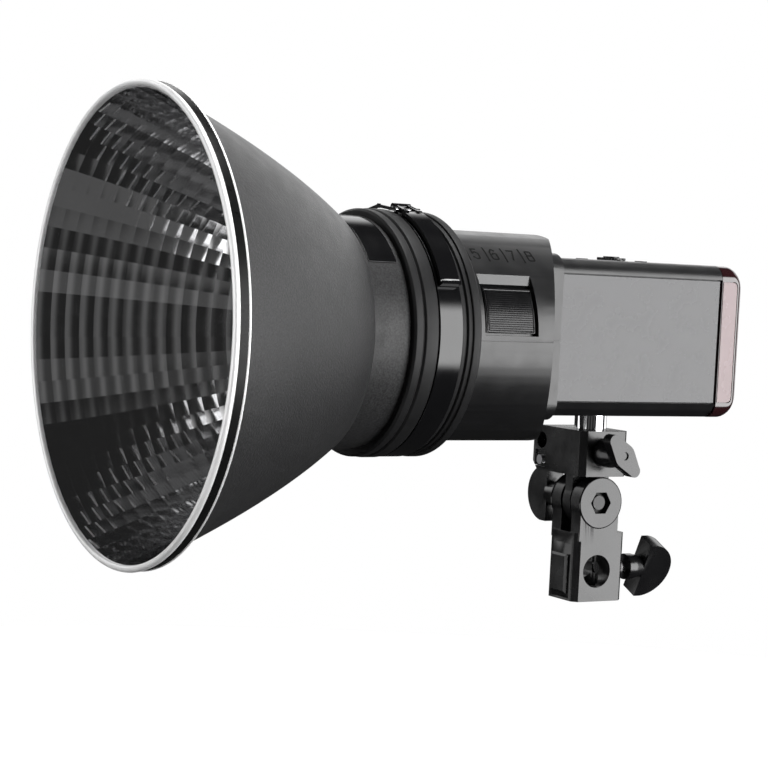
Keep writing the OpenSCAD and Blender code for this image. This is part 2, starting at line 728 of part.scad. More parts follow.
module clamp_strap() color([0.06, 0.06, 0.06]) {
    arc_about_axis(strap_a0, strap_a1, [[strap_in_r, strap_y0], [collar_r, strap_y0],
                                        [collar_r, strap_y1], [strap_in_r, strap_y1]]);
    difference() {
        translate([lever_pivot[0], 0, axis_z + lever_pivot[1]]) union() {
            box([-barrel_r, -123.6, -6], [barrel_r, -118.9, 0]);
            cyl_y(-123.6, -118.9, 0, 0, barrel_r);
        }
        cyl_y(-130, -110, lever_pivot[0], axis_z + lever_pivot[1], pin_r + 0.01);
        inside_strap();
    }
    difference() {
        box([-20, -124.5, axis_z + 51], [-17.4, -118, axis_z + 57]);
        inside_strap();
    }
}

module clamp_lever_pin() color([0.8, 0.8, 0.8])
    cyl_y(cheek_ys[0], cheek_ys[1] + cheek_t, lever_pivot[0], axis_z + lever_pivot[1], pin_r);

module clamp_lever() color([0.09, 0.09, 0.09]) difference() {
    union() {
        arc_about_axis(26, 72, [[collar_r + 0.6, strap_y0 + 1], [collar_r + 2.4, strap_y0 + 1],
                                [collar_r + 2.4, strap_y1 - 1], [collar_r + 0.6, strap_y1 - 1]]);
        arc_about_axis(24.5, 26, [[collar_r + 0.6, strap_y0 + 1], [collar_r + 3.4, strap_y0 + 1],
                                  [collar_r + 3.4, strap_y1 - 1], [collar_r + 0.6, strap_y1 - 1]]);
        for (y = cheek_ys) along_y(y, y + cheek_t) translate([0, axis_z]) {
            translate(lever_pivot) circle(barrel_r);
            translate(lever_root) circle(1.2);
            strip(lever_pivot, lever_root, 2.2);
        }
    }
    cyl_y(-130, -110, lever_pivot[0], axis_z + lever_pivot[1], pin_r + run);
    cyl_y(-130, -110, link_pivot[0], axis_z + link_pivot[1], link_r + run);
}

// One side of the link: round eyes joined by straight strips
link_eye_r = 1.1;
link_t = 1.2;
link_w = 1.5;

module clamp_link() color([0.8, 0.8, 0.8]) {
    for (y = link_ys) along_y(y - link_t/2, y + link_t/2) translate([0, axis_z]) {
        strip(link_pivot, link_bend, link_w);
        strip(link_bend, link_hook, link_w);
        for (p = [link_pivot, link_bend, link_hook]) translate(p) circle(link_eye_r);
    }
    for (p = [link_pivot, link_hook]) cyl_y(link_ys[0], link_ys[1], p[0], axis_z + p[1], link_r);
}

lower_yoke();
tilt_bolt();
tilt_nut();
friction_washers();
stand_screw();
stand_knob();
tilt_knob();
spigot_block();
umbrella_plate();
umbrella_plate_screw();
spigot_screw();
spigot_knob();
spigot();
tripod_bush();
top_cover();
bottom_cover();
side_panel_right();
side_panel_left();
chassis();
capacitors();
main_board();
control_board();
display_window();
sync_sockets();
head_housing();
bulb_base();
flash_tube();
modelling_led();
protective_glass();
port_flap();
control_dial();
set_button();
button_mode();
button_group();
button_light();
button_power();
battery_pack();
battery_end_cap();
battery_side_plates();
battery_latch();
adapter_upper_shell();
adapter_lower_shell();
adapter_front_ring();
adapter_screws();
adapter_reflector_disc();
release_button_right();
release_button_left();
button_spring_right();
button_spring_left();
reflector_bowl();
collar_rubber();
collar_rivets();
label_plate();
clamp_strap();
clamp_lever_pin();
clamp_lever();
clamp_link();
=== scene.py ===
import json
from math import cos, pi, radians, sin, sqrt, tan

import bmesh
import bpy
from mathutils import Matrix, Vector


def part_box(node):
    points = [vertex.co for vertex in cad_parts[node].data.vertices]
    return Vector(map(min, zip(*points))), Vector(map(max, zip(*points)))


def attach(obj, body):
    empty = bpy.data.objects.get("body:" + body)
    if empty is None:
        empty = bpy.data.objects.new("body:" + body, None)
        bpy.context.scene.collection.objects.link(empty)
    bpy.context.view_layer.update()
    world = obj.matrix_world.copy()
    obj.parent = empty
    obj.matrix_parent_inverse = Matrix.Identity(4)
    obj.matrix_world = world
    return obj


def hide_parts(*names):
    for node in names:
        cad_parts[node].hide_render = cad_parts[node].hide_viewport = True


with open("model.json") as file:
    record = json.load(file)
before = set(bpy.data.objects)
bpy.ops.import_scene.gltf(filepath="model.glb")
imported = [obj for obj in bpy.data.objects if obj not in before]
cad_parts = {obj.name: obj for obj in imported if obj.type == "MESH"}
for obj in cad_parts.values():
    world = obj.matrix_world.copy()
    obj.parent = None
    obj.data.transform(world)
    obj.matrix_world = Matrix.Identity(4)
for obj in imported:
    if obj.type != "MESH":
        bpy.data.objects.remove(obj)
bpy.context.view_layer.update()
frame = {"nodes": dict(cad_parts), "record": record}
nodes = frame["nodes"]
scene = bpy.context.scene
MM = 0.001
SIDES = ((-1, "left"), (1, "right"))


def span(node):
    """Lowest and highest corner of a CAD node, in millimetres."""
    low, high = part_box(node)
    return low / MM, high / MM


# ---- places read from the frame ----

BOWL_LOW, BOWL_HIGH = span("reflector_bowl")
AXIS_Z = (BOWL_LOW.z + BOWL_HIGH.z) / 2
MOUTH_R = (BOWL_HIGH.x - BOWL_LOW.x) / 2
MOUTH_Y = BOWL_LOW.y
NECK_END_Y = BOWL_HIGH.y
COLLAR_LOW, COLLAR_HIGH = span("collar_rubber")
COLLAR_RIB = 0.3
COLLAR_R = (COLLAR_HIGH.x - COLLAR_LOW.x) / 2 - COLLAR_RIB
RING_LOW, RING_HIGH = span("adapter_front_ring")
TUBE_R = (RING_HIGH.x - RING_LOW.x) / 2
PANEL_LOW, PANEL_HIGH = span("side_panel_right")
TOP_LOW, TOP_HIGH = span("top_cover")
BODY_MID_Z = (PANEL_LOW.z + PANEL_HIGH.z) / 2
BODY_HALF_H = TOP_HIGH.z - BODY_MID_Z
BODY_HALF_W = TOP_HIGH.x
PANEL_HALF_H = (PANEL_HIGH.z - PANEL_LOW.z) / 2
CAP_LOW, CAP_HIGH = span("battery_end_cap")
NUT_LOW, NUT_HIGH = span("tilt_nut")
PIVOT_Z = (NUT_LOW.z + NUT_HIGH.z) / 2
SCALE_R = span("adapter_upper_shell")[1].x

# ---- camera ----

VIEW_TURN = radians(59.0)
VIEW_DIP = radians(3.38)
VIEW_ROLL = radians(2.94)
VIEW_FROM = Vector((881, -650, 166))
LENS_MM = 103.1
SENSOR_MM = 36
CLIP_START = 10


def add_camera():
    look = Vector((-sin(VIEW_TURN) * cos(VIEW_DIP), cos(VIEW_TURN) * cos(VIEW_DIP), -sin(VIEW_DIP)))
    right = look.cross(Vector((0, 0, 1))).normalized()
    up = right.cross(look)
    tilted_right = cos(VIEW_ROLL) * right + sin(VIEW_ROLL) * up
    tilted_up = -sin(VIEW_ROLL) * right + cos(VIEW_ROLL) * up
    camera = bpy.data.objects.new("camera", bpy.data.cameras.new("camera"))
    scene.collection.objects.link(camera)
    turn = Matrix((tilted_right, tilted_up, -look)).transposed()
    camera.matrix_world = Matrix.Translation(VIEW_FROM * MM) @ turn.to_4x4()
    camera.data.lens = LENS_MM
    camera.data.sensor_width = SENSOR_MM
    camera.data.clip_start = CLIP_START * MM
    scene.camera = camera


# ---- studio ----

# Each soft box is a patch of sky: its turn from +X towards +Y and its rise above level, from and
# to, then the half width of its soft edge, all in degrees, and its strength
SOFT_BOXES = [
    (8, 60, -22, 24, 4, 8.8),
    (84, 116, -8, 32, 6, 2.2),
    (10, 170, 66, 88, 4, 16.0),
    (-138, -66, -25, 30, 4, 2.2),
    (-96, -60, -58, -44, 4, 2.4),
    (-96, -62, 45, 56, 4, 1.2),
    (180, 210, 8, 40, 6, 2.0),
    (-58, -8, -84, -46, 5, 0.08),
    (-56, -8, -27, -11, 2, 0.06),
    (-56, -8, 20, 42, 4, 0.03),
]
BACKDROP = (114, 175, 9, 36, 6, 1.9)
# A patch broken up into upright bars, which the faceted lining mirrors
BARS = (-62, -4, -40, 44, 12, 0.10)
BAR_STEP = 19
BAR_SHARPNESS = 5
DARK_ROOM = 0.02


def add_studio():
    """A dark room with soft boxes and a white backdrop, which only reflections and shading see."""
    world = bpy.data.worlds.new("studio")
    scene.world = world
    world.use_nodes = True
    tree = world.node_tree
    tree.nodes.clear()

    def node(kind, **values):
        made = tree.nodes.new(kind)
        for key, value in values.items():
            setattr(made, key, value)
        return made

    def math(operation, *values):
        made = node("ShaderNodeMath", operation=operation)
        for socket, value in zip(made.inputs, values):
            if isinstance(value, (int, float)):
                socket.default_value = value
            else:
                tree.links.new(value, socket)
        return made.outputs[0]

    direction = node("ShaderNodeTexCoord").outputs["Generated"]
    parts = node("ShaderNodeSeparateXYZ")
    tree.links.new(direction, parts.inputs[0])
    turn = math("DEGREES", math("ARCTAN2", parts.outputs["Y"], parts.outputs["X"]))
    rise = math("DEGREES", math("ARCSINE", parts.outputs["Z"]))

    def step(value, edge, soft, rising):
        made = node("ShaderNodeMapRange", interpolation_type="SMOOTHSTEP")
        tree.links.new(value, made.inputs["Value"])
        made.inputs["From Min"].default_value = edge - soft if rising else edge + soft
        made.inputs["From Max"].default_value = edge + soft if rising else edge - soft
        return made.outputs["Result"]

    def patch(turn0, turn1, rise0, rise1, soft, strength):
        middle = (turn0 + turn1) / 2
        shifted = math("WRAP", math("SUBTRACT", turn, middle), -180, 180)
        inside = math("MULTIPLY", step(rise, rise0, soft, True), step(rise, rise1, soft, False))
        inside = math("MULTIPLY", inside, step(shifted, turn0 - middle, soft, True))
        inside = math("MULTIPLY", inside, step(shifted, turn1 - middle, soft, False))
        return math("MULTIPLY", inside, strength)

    total = patch(*BACKDROP)
    for box in SOFT_BOXES:
        total = math("ADD", total, patch(*box))
    wave = math("ABSOLUTE", math("SINE", math("MULTIPLY", turn, pi / BAR_STEP)))
    total = math("ADD", total, math("MULTIPLY", math("POWER", wave, BAR_SHARPNESS), patch(*BARS)))
    total = math("ADD", total, DARK_ROOM)
    room = node("ShaderNodeBackground")
    tree.links.new(total, room.inputs["Strength"])
    plain = node("ShaderNodeBackground")
    plain.inputs["Color"].default_value = (1, 1, 1, 1)
    plain.inputs["Strength"].default_value = 1.0
    mix = node("ShaderNodeMixShader")
    tree.links.new(node("ShaderNodeLightPath").outputs["Is Camera Ray"], mix.inputs[0])
    tree.links.new(room.outputs[0], mix.inputs[1])
    tree.links.new(plain.outputs[0], mix.inputs[2])
    output = node("ShaderNodeOutputWorld")
    tree.links.new(mix.outputs[0], output.inputs["Surface"])


# ---- materials ----

# A noise texture's values lie mostly between these two
NOISE_LOW, NOISE_HIGH = 0.3, 0.7
MOTTLE_SIZE = 14
UNEVEN_SIZE = 9
# Sizes of the fine and the wide part of a speckle, as shares of the grain
FLECK_FINE, FLECK_WIDE = 0.7, 1.7
# How much of the speckle shows, at least and at most
FLECK_LEAST, FLECK_MOST = 0.5, 0.9


def add_material(name, colour, roughness, metallic=0.0, grain=0.5, bump=0.0, uneven=0.06, mottle=0.12,
                 specular=0.5, coat=0.0, transmission=0.0, speckle=0.0):
    """A finish in the piece's own coordinates: grain is the size of its texture in millimetres,
    bump its depth in millimetres, uneven the spread of its roughness, mottle that of its colour,
    speckle the strength of a fine grain in its colour."""
    material = bpy.data.materials.new(name)
    material.use_nodes = True
    tree = material.node_tree
    shader = tree.nodes["Principled BSDF"]
    shader.inputs["Metallic"].default_value = metallic
    shader.inputs["Specular IOR Level"].default_value = specular
    shader.inputs["Coat Weight"].default_value = coat
    shader.inputs["Transmission Weight"].default_value = transmission
    place = tree.nodes.new("ShaderNodeTexCoord").outputs["Object"]

    def noise(size, detail):
        made = tree.nodes.new("ShaderNodeTexNoise")
        made.inputs["Scale"].default_value = 1 / (size * MM)
        made.inputs["Detail"].default_value = detail
        tree.links.new(place, made.inputs["Vector"])
        return made.outputs["Fac"]

    def ranged(value, low, high):
        made = tree.nodes.new("ShaderNodeMapRange")
        tree.links.new(value, made.inputs["Value"])
        made.inputs["From Min"].default_value = NOISE_LOW
        made.inputs["From Max"].default_value = NOISE_HIGH
        made.inputs["To Min"].default_value = low
        made.inputs["To Max"].default_value = high
        return made.outputs["Result"]

    def blend(factor, first, second):
        made = tree.nodes.new("ShaderNodeMix")
        made.data_type = "RGBA"
        tree.links.new(factor, made.inputs["Factor"])
        for socket, value in ((made.inputs["A"], first), (made.inputs["B"], second)):
            if isinstance(value, tuple):
                socket.default_value = (*value, 1)
            else:
                tree.links.new(value, socket)
        return made.outputs["Result"]

    darker = tuple(c * (1 - mottle) for c in colour)
    lighter = tuple(min(c * (1 + mottle), 1) for c in colour)
    tint = blend(ranged(noise(MOTTLE_SIZE, 4), 0, 1), darker, lighter)
    if speckle:
        dark = tuple(c * (1 - speckle) for c in colour)
        light = tuple(min(c * (1 + 2 * speckle), 1) for c in colour)
        fleck = blend(ranged(noise(grain * FLECK_FINE, 1), 0, 1), dark, light)
        tint = blend(ranged(noise(grain * FLECK_WIDE, 2), FLECK_LEAST, FLECK_MOST), tint, fleck)
    tree.links.new(tint, shader.inputs["Base Color"])
    rough = ranged(noise(UNEVEN_SIZE, 5), roughness - uneven, roughness + uneven)
    tree.links.new(rough, shader.inputs["Roughness"])
    if bump:
        relief = tree.nodes.new("ShaderNodeBump")
        relief.inputs["Distance"].default_value = bump * MM
        relief.inputs["Strength"].default_value = 1.0
        tree.links.new(noise(grain, 2), relief.inputs["Height"])
        tree.links.new(relief.outputs["Normal"], shader.inputs["Normal"])
    return material


# One look for each material slot of the record: colour, roughness, and what else it has
LOOKS = {
    "black_paint": ((0.016, 0.016, 0.0165), 0.43, dict(grain=1.0, bump=0.18, uneven=0.04, speckle=0.55)),
    "cast_black": ((0.007, 0.007, 0.0075), 0.24, dict(grain=0.9, bump=0.010, uneven=0.05)),
    "black_plastic": ((0.008, 0.008, 0.0085), 0.33, dict(grain=0.5, bump=0.018, uneven=0.04)),
    "gloss_black": ((0.005, 0.005, 0.0055), 0.12, dict(grain=2.0, bump=0.003, uneven=0.03)),
    "knob_plastic": ((0.006, 0.006, 0.0065), 0.24, dict(grain=0.6, bump=0.006, uneven=0.04)),
    "collar_rubber": ((0.011, 0.011, 0.0115), 0.50,
                      dict(grain=0.5, bump=0.03, mottle=0.2, specular=0.22)),
    "side_grey": ((0.030, 0.030, 0.033), 0.27, dict(grain=0.35, bump=0.005, mottle=0.05, uneven=0.02)),
    "end_brown": ((0.020, 0.006, 0.007), 0.10, dict(grain=2.0, bump=0.002, uneven=0.03, coat=0.5)),
    "end_plate": ((0.23, 0.16, 0.165), 0.27, dict(grain=0.5, bump=0.005, mottle=0.05, uneven=0.02)),
    "steel": ((0.30, 0.30, 0.31), 0.34, dict(metallic=1.0, grain=0.5, bump=0.008)),
    "chrome": ((0.80, 0.80, 0.81), 0.07,
               dict(metallic=1.0, grain=1.5, bump=0.002, uneven=0.03, mottle=0.03)),
    "brass": ((0.72, 0.52, 0.22), 0.25, dict(metallic=1.0, grain=0.5, bump=0.006)),
    "glass": ((0.95, 0.97, 1.0), 0.03,
              dict(grain=4, bump=0.004, uneven=0.02, mottle=0.02, transmission=1.0)),
    "window": ((0.010, 0.011, 0.013), 0.06, dict(uneven=0.02, coat=1.0)),
    "ceramic": ((0.80, 0.78, 0.74), 0.45, dict(grain=0.6, bump=0.02)),
    "led_yellow": ((0.85, 0.62, 0.12), 0.40, dict(grain=0.3, bump=0.02)),
    "circuit": ((0.02, 0.16, 0.07), 0.35, dict(grain=1.2, bump=0.03)),
    "capacitor_blue": ((0.03, 0.05, 0.16), 0.30, dict(grain=2, bump=0.01)),
    "bright_aluminium": ((0.86, 0.86, 0.87), 0.08,
                         dict(metallic=1.0, grain=3.0, bump=0.0012, uneven=0.03, mottle=0.03)),
}

# Looks that a slot has besides its own, with the slot's name first
EXTRA_LOOKS = {
    "polished_lip": ("bright_aluminium", (0.93, 0.93, 0.93), 0.42,
                     dict(metallic=0.4, grain=1.0, bump=0.004, mottle=0.03)),
    "hem_black": ("cast_black", (0.006, 0.006, 0.006), 0.30, dict(specular=0.12, grain=1.0, bump=0.004)),
    # A glossier black for the flat above each release button's window, lighter than its slot as a painted
    # highlight
    "flat_painted_highlight": ("black_plastic", (0.035, 0.035, 0.036), 0.22,
                    dict(grain=0.5, bump=0.004, uneven=0.02)),
    # Near-black steel for the tilt bolt, in place of its slot's steel: painted shade
    "shade_darkened_bolt": ("steel", (0.035, 0.035, 0.036), 0.30, dict(grain=1.2, bump=0.05, specular=0.3)),
    "neck_black": ("black_paint", (0.018, 0.018, 0.0185), 0.48,
                   dict(grain=1.3, bump=0.1, specular=0.28, speckle=0.5)),
    "engraving": ("black_plastic", (0.004, 0.004, 0.004), 0.75, dict(specular=0.1)),
}
FINISH = {slot: (add_material(slot, colour, roughness, **more), slot)
          for slot, (colour, roughness, more) in LOOKS.items()}
FINISH.update({name: (add_material(name, colour, roughness, **more), slot)
               for name, (slot, colour, roughness, more) in EXTRA_LOOKS.items()})

# Hardware that sits hidden or in shade, given a darker finish than the rest of its slot: painted shade
PAINTED_SHADE_HARDWARE = {"tilt_bolt": "shade_darkened_bolt", "tilt_nut": "hem_black"}
SLOT_OF = {s["node"]: s["material_slot"] for s in frame["record"]["subparts"]}
BODY_OF = {n: b for b, members in frame["record"]["behaviour"]["bodies"].items() for n in members}


def finish_cad_nodes():
    for name, obj in nodes.items():
        for place in obj.material_slots:
            place.material = FINISH[PAINTED_SHADE_HARDWARE.get(name, SLOT_OF[name])][0]


# ---- mesh tools ----

# In degrees: edges past SMOOTH_ANGLE stay sharp, those past EDGE_ANGLE are bevelled, and faces
# within FLAT_ANGLE of each other become one. Points of a CAD mesh within MERGE of each other do too
SMOOTH_ANGLE = 35
CUT_SMOOTH_ANGLE = 30
EDGE_ANGLE = 32
FLAT_ANGLE = 0.05
MERGE = 0.002
UNDER_HALF = 0.49


def smooth(mesh, angle):
    for polygon in mesh.polygons:
        polygon.use_smooth = True
    mesh.set_sharp_from_angle(angle=radians(angle))


def to_object(name, bm, node, replace=(), slot=None, smooth_angle=SMOOTH_ANGLE):
    """A piece from a bmesh in metres: it rides with a CAD node and takes that node's finish."""
    bmesh.ops.recalc_face_normals(bm, faces=bm.faces)
    mesh = bpy.data.meshes.new(name)
    bm.to_mesh(mesh)
    bm.free()
    smooth(mesh, smooth_angle)
    obj = bpy.data.objects.new(name, mesh)
    scene.collection.objects.link(obj)
    finish, slot = FINISH[slot or SLOT_OF[node]]
    mesh.materials.append(finish)
    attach(obj, BODY_OF[node])
    if replace:
        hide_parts(*replace)
    return obj


def bevelled(obj, width, segments=3):
    """Rounds the edges of a piece."""
    bevel = obj.modifiers.new("edges", "BEVEL")
    bevel.width = width * MM
    bevel.segments = segments
    bevel.limit_method = "ANGLE"
    bevel.angle_limit = radians(EDGE_ANGLE)
    bevel.harden_normals = True


def skin(node, width):
    """A copy of a CAD node with rounded edges, which stands for it."""
    bm = bmesh.new()
    bm.from_mesh(nodes[node].data)
    bmesh.ops.remove_doubles(bm, verts=bm.verts, dist=MERGE * MM)
    bmesh.ops.dissolve_limit(bm, angle_limit=radians(FLAT_ANGLE), verts=bm.verts, edges=bm.edges)
    bevelled(to_object(node + "_skin", bm, node, (node,)), width)


def rounded(corners, closed=True, steps=5):
    """Corners (u, v) or (u, v, radius) as a polyline with its corners rounded off, each over less
    than half of its two sides."""
    line = []
    last = len(corners) - 1
    for i, corner in enumerate(corners):
        here = Vector(corner[:2])
        if len(corner) < 3 or (not closed and i in (0, last)):
            line.append(here)
            continue
        before = Vector(corners[i - 1][:2]) - here
        after = Vector(corners[(i + 1) % len(corners)][:2]) - here
        reach = min(corner[2] / tan(before.angle(after) / 2), UNDER_HALF * before.length,
                    UNDER_HALF * after.length)
        start = here + before.normalized() * reach
        end = here + after.normalized() * reach
        for k in range(steps + 1):
            t = k / steps
            line.append(start * (1 - t) ** 2 + here * 2 * t * (1 - t) + end * t * t)
    return line


def circle(count):
    """Angles evenly round a full turn."""
    return [2 * pi * k / count for k in range(count)]


def rectangle(x0, x1, y0, y1):
    return [Vector(q) for q in ((x0, y0), (x1, y0), (x1, y1), (x0, y1))]


def on_axis(radius, y, angle):
    """A point by its radius from the optical axis, its y, and its angle from +X towards +Z."""
    return Vector((radius * cos(angle), y, AXIS_Z + radius * sin(angle)))


def loft(rings, path_closed=False, caps=False, bm=None):
    """A bmesh through rings of points, given in millimetres."""
    bm = bm or bmesh.new()
    rows = [[bm.verts.new(p * MM) for p in ring] for ring in rings]
    count = len(rings[0])
    for i in range(len(rows) if path_closed else len(rows) - 1):
        first, second = rows[i], rows[(i + 1) % len(rows)]
        for k in range(count):
            after = (k + 1) % count
            bm.faces.new((first[k], first[after], second[after], second[k]))
    if caps:
        bm.faces.new(rows[0][::-1])
        bm.faces.new(rows[-1])
    return bm


def revolve(profile, segments):
    """A closed outline of (radius, y) points turned about the optical axis."""
    return loft([[on_axis(*p, a) for p in profile] for a in circle(segments)], path_closed=True)


def closed_tube(points, radius, sides):
    """Round wire along a closed path of points."""
    rings = []
    side = None
    for i, here in enumerate(points):
        ahead = (points[(i + 1) % len(points)] - points[i - 1]).normalized()
        if side is None:
            side = ahead.orthogonal().normalized()
        side = (side - ahead * side.dot(ahead)).normalized()
        up = ahead.cross(side)
        rings.append([here + radius * (cos(a) * side + sin(a) * up) for a in circle(sides)])
    return loft(rings, path_closed=True)


def plate(x0, x1, outline):
    """A slab between two x, with its outline in (y, z)."""
    return loft([[Vector((x, *q)) for q in outline] for x in (x0, x1)], caps=True)


def upright(z0, z1, outline):
    """A column between two z, with its outline in (x, y)."""
    return loft([[Vector((*q, z)) for q in outline] for z in (z0, z1)], caps=True)


def cut_holes(obj, cutters):
    """Cuts closed shapes out of a piece and keeps the result as its mesh."""
    for bm in cutters:
        bmesh.ops.recalc_face_normals(bm, faces=bm.faces)
        mesh = bpy.data.meshes.new("cutter")
        bm.to_mesh(mesh)
        bm.free()
        cutter = bpy.data.objects.new("cutter", mesh)
        scene.collection.objects.link(cutter)
        boolean = obj.modifiers.new("cut", "BOOLEAN")
        boolean.object = cutter
        boolean.solver = "EXACT"
        bpy.context.view_layer.update()
        shape = bpy.data.meshes.new_from_object(obj.evaluated_get(bpy.context.evaluated_depsgraph_get()))
        obj.modifiers.clear()
        obj.data = shape
        bpy.data.objects.remove(cutter)
    smooth(obj.data, CUT_SMOOTH_ANGLE)


# ---- reflector ----

# Sizes from the axis, and places along it as the frame's own y. The lining's corners lie
# LINING_DEPTH inside the bowl's outer surface
NECK_Y = -160
NECK_R = 54
SHELL_T = 0.8
LINING_DEPTH = 1.5
LIP_R = 1.6
LIP_Y = MOUTH_Y + LIP_R
BAND_Y = MOUTH_Y + 7.2
BAND_R = MOUTH_R - 0.6
BAND_T = 1.5
BEAD_R = 0.65
CURVE_START_R = 56.4
CURVE_END_R = MOUTH_R - 4
CURVE_END_Y = MOUTH_Y + 6
CURVE_STEPS = 40
BOWL_STEPS = 160
HEM_STEPS = 192
SLEEVE_T = 0.05
FACETS_ROUND = 60
FACET_RINGS = 15
FACET_CUTS = 5
FACETS_START_Y = MOUTH_Y + 1.7
# How far the middle of a facet stands proud, by its crown along the axis and by that round it
CROWN_ALONG = 0.11
CROWN_ROUND = 0.03


def bowl_radius(y):
    """The bowl is a paraboloid: its radius squared grows evenly towards the mouth."""
    share = (NECK_Y - y) / (NECK_Y - CURVE_END_Y)
    return sqrt(CURVE_START_R ** 2 + (CURVE_END_R ** 2 - CURVE_START_R ** 2) * share)


def add_reflector_shell():
    """The painted bowl and its neck, with a duller sleeve on the neck."""
    ys = [NECK_Y + (CURVE_END_Y - NECK_Y) * i / CURVE_STEPS for i in range(1, CURVE_STEPS + 1)]
    outside = [Vector((bowl_radius(y), y)) for y in ys]
    inside = [Vector((bowl_radius(y) - SHELL_T, y)) for y in reversed(ys)]
    neck = rounded([(NECK_R - SHELL_T, NECK_END_Y), (NECK_R, NECK_END_Y), (NECK_R, NECK_Y + 0.6, 0.6),
                    (CURVE_START_R - 0.3, NECK_Y, 0.6), tuple(outside[0])], closed=False)
    inner_neck = Vector((NECK_R - SHELL_T, NECK_Y - SHELL_T))
    bm = revolve([*neck, *outside[1:], *inside, inner_neck], BOWL_STEPS)
    to_object("reflector_shell", bm, "reflector_bowl", ("reflector_bowl",))
    sleeve = rectangle(NECK_R - 0.2, NECK_R + SLEEVE_T, NECK_Y + 0.9, COLLAR_LOW.y + 0.3)
    to_object("reflector_neck", revolve(sleeve, BOWL_STEPS), "reflector_bowl", slot="neck_black")


def add_reflector_hem():
    """A bright rolled lip, a black band behind it and a thin bright bead before the painted bowl."""
    lip = [Vector((MOUTH_R - LIP_R + LIP_R * cos(a), LIP_Y + LIP_R * sin(a))) for a in circle(20)]
    to_object("reflector_lip", revolve(lip, HEM_STEPS), "reflector_bowl", slot="polished_lip")
    band = rounded([(BAND_R, BAND_Y, 0.5), (BAND_R, LIP_Y + 0.4), (BAND_R - BAND_T, LIP_Y + 0.4),
                    (BAND_R - BAND_T, BAND_Y - BAND_T), (CURVE_END_R - 1.1, BAND_Y - BAND_T),
                    (CURVE_END_R - 1.1, BAND_Y)], steps=4)
    to_object("reflector_band", revolve(band, HEM_STEPS), "reflector_bowl", slot="hem_black")
    bead = [Vector((BAND_R - 0.35 + BEAD_R * cos(a), BAND_Y + BEAD_R * sin(a))) for a in circle(10)]
    to_object("reflector_bead", revolve(bead, HEM_STEPS), "reflector_bowl", slot="polished_lip")


def add_reflector_lining():
    """Polished facets, each slightly crowned, in front of a smooth back."""
    around = FACETS_ROUND * FACET_CUTS

    def ring_y(i):
        return FACETS_START_Y + (NECK_Y - FACETS_START_Y) * i / FACET_RINGS

    def corner(i, j):
        return on_axis(bowl_radius(ring_y(i)) - LINING_DEPTH, ring_y(i), 2 * pi * j / FACETS_ROUND)

    def front(row, column):
        i = min(row // FACET_CUTS, FACET_RINGS - 1)
        s = row / FACET_CUTS - i
        j = column // FACET_CUTS
        t = column / FACET_CUTS - j
        a, b, c, d = corner(i, j), corner(i, j + 1), corner(i + 1, j + 1), corner(i + 1, j)
        flat = a * (1 - s) * (1 - t) + b * (1 - s) * t + c * s * t + d * s * (1 - t)
        inward = (b - a).cross(d - a).normalized()
        if inward.dot(flat - Vector((0, flat.y, AXIS_Z))) > 0:
            inward.negate()
        return flat + inward * 4 * (CROWN_ALONG * s * (1 - s) + CROWN_ROUND * t * (1 - t))

    rows = [[front(row, column) for column in range(around)]
            for row in range(FACET_RINGS * FACET_CUTS + 1)]
    neck_in = NECK_R - LINING_DEPTH
    back = [(neck_in, NECK_Y + 1.2), (neck_in, NECK_END_Y), (neck_in + 0.4, NECK_END_Y),
            (neck_in + 0.4, NECK_Y + 0.8)]
    back += [(bowl_radius(ring_y(i)) - SHELL_T - 0.1, ring_y(i)) for i in range(FACET_RINGS, -1, -1)]
    rows += [[on_axis(radius, y, a) for a in circle(around)] for radius, y in back]
    to_object("reflector_lining", loft(rows, path_closed=True), "reflector_bowl",
              slot="bright_aluminium", smooth_angle=3)


# ---- collar ----

COLLAR_STEPS = 192
RIB_FRONT_Y, RIB_REAR_Y = -134.4, -128.4
STRAP_FRONT_Y, STRAP_REAR_Y = -127.5, -115
STRAP_DEPTH = 3
GROOVE_Y = -113
FLANGE_Y = -109.3


def add_collar():
    """The rubber collar: a raised rib, the strap's seat, a step with a groove in it, and a flange."""
    r = COLLAR_R
    front, rear = COLLAR_LOW.y, COLLAR_HIGH.y
    rib_r, step_r, groove_r = r + COLLAR_RIB, r - 1, r - 2.2
    profile = rounded([
        (NECK_R, front), (r - 1, front, 0.3), (r, front + 1, 0.5),
        (r, RIB_FRONT_Y - 1.6, 0.4), (r - 0.9, RIB_FRONT_Y - 0.8, 0.3),
        (rib_r, RIB_FRONT_Y, 0.4), (rib_r, RIB_REAR_Y, 0.4),
        (r - 0.7, STRAP_FRONT_Y, 0.3), (r - STRAP_DEPTH, STRAP_FRONT_Y, 0.3),
        (r - STRAP_DEPTH, STRAP_REAR_Y, 0.3), (step_r, STRAP_REAR_Y, 0.3),
        (step_r, GROOVE_Y, 0.3), (groove_r, GROOVE_Y + 0.4, 0.2),
        (groove_r, GROOVE_Y + 1.2, 0.2), (step_r, GROOVE_Y + 1.6, 0.3),
        (step_r, FLANGE_Y, 0.2), (r, FLANGE_Y, 0.4),
        (r, rear - 0.8, 0.4), (r - 0.8, rear, 0.4),
        (TUBE_R + 0.3, rear, 0.3), (TUBE_R + 0.3, NECK_END_Y), (NECK_R, NECK_END_Y)], steps=3)
    to_object("collar_sleeve", revolve(profile, COLLAR_STEPS), "collar_rubber", ("collar_rubber",))


# ---- flash body ----

COVER_R = 7.4
COVER_GAP = 0.5
COVER_T = 2
COVER_STEPS = 12
HOLE_GAP = 0.25
HOLE_SIDES = 48
BUSH_HOLE_R = 5.2
WINDOW_RECESS = 1.2
THROUGH = 10


def mirrored(right):
    """The right half of a cover's outline with its mirror image, from edge to edge."""
    return [*right, *((-q[0], *q[1:]) for q in reversed(right))]


